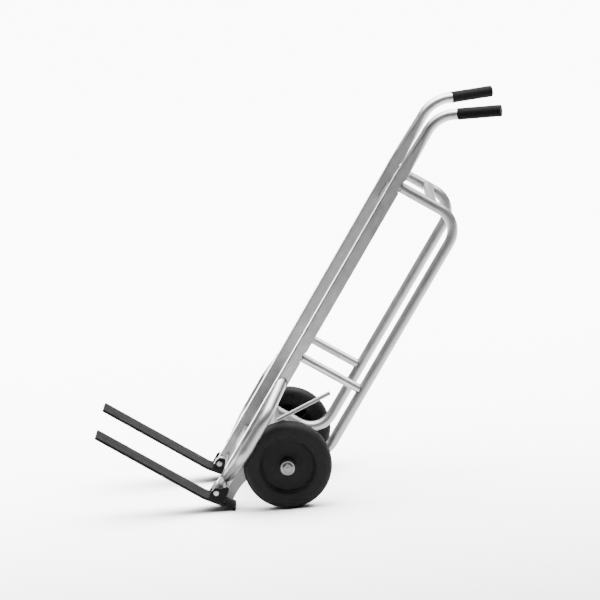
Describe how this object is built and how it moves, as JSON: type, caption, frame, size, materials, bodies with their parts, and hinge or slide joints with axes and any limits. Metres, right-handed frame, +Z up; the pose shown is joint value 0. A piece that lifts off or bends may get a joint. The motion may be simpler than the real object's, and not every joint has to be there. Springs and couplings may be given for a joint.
{
  "type": "mini pallet truck",
  "caption": "Two-wheel hand truck for small pallets: aluminium uprights with bent handles, tube frame, wheel guards and flat steel forks that fold up.",
  "frame": {"origin": "on the floor, under the centre of the whole truck's box, with the truck leaned back on its wheels and fork heels", "axes": "+Z up, +X from the forks towards the handles, +Y to the right-hand side of the person pushing it"},
  "size_m": [1.2156, 0.5282, 1.0934],
  "materials": {
    "profile_aluminium": "mill finish, fine lengthwise grain",
    "tube_aluminium": "satin drawn tube",
    "plate_aluminium": "matt rolled plate",
    "zinc_steel": "bright zinc plate",
    "black_steel": "black powder coat",
    "grip_rubber": "matt, lightly grained",
    "tyre_rubber": "matt solid rubber",
    "wheel_plastic": "fine moulded texture",
    "bush_plastic": "smooth"
  },
  "bodies": {
    "frame": {"upright_left": "profile_aluminium", "upright_right": "profile_aluminium", "grip_left": "grip_rubber", "grip_right": "grip_rubber", "upper_cross_plate": "plate_aluminium", "lower_cross_plate": "plate_aluminium", "rear_tube_left": "tube_aluminium", "rear_tube_right": "tube_aluminium", "upper_cross_tube": "tube_aluminium", "lower_cross_tube": "tube_aluminium", "strut_left": "tube_aluminium", "strut_right": "tube_aluminium", "wheel_guard_left": "tube_aluminium", "wheel_guard_right": "tube_aluminium", "axle_plate_left": "plate_aluminium", "axle_plate_right": "plate_aluminium", "foot_rod": "zinc_steel", "stop_rod": "zinc_steel", "hinge_block_left": "plate_aluminium", "hinge_block_right": "plate_aluminium", "axle": "zinc_steel", "axle_spacers": "zinc_steel", "axle_washers": "zinc_steel", "axle_caps": "zinc_steel", "pivot_sleeves": "zinc_steel", "pivot_bolts": "zinc_steel", "pivot_washers": "zinc_steel", "pivot_nuts": "zinc_steel"},
    "wheel_left": {"tyre_left": "tyre_rubber", "wheel_centre_left": "wheel_plastic", "wheel_bush_left": "bush_plastic"},
    "fork_left": {"fork_blade_left": "black_steel", "fork_lugs_left": "black_steel"},
    "wheel_right": {"tyre_right": "tyre_rubber", "wheel_centre_right": "wheel_plastic", "wheel_bush_right": "bush_plastic"},
    "fork_right": {"fork_blade_right": "black_steel", "fork_lugs_right": "black_steel"}
  },
  "joints": [
    {"name": "wheel_left_spin", "type": "hinge", "parent": "frame", "child": "wheel_left", "pos_m": [-0.07015, -0.2, 0.125], "axis": [0, 1, 0], "continuous": true},
    {"name": "wheel_right_spin", "type": "hinge", "parent": "frame", "child": "wheel_right", "pos_m": [-0.07015, 0.2, 0.125], "axis": [0, 1, 0], "continuous": true},
    {"name": "fork_left_fold", "type": "hinge", "parent": "frame", "child": "fork_left", "pos_m": [-0.27972, -0.15, 0.05703], "axis": [0, 1, 0], "range_deg": [0, 90]},
    {"name": "fork_right_fold", "type": "hinge", "parent": "frame", "child": "fork_right", "pos_m": [-0.27972, 0.15, 0.05703], "axis": [0, 1, 0], "range_deg": [0, 90]}
  ]
}
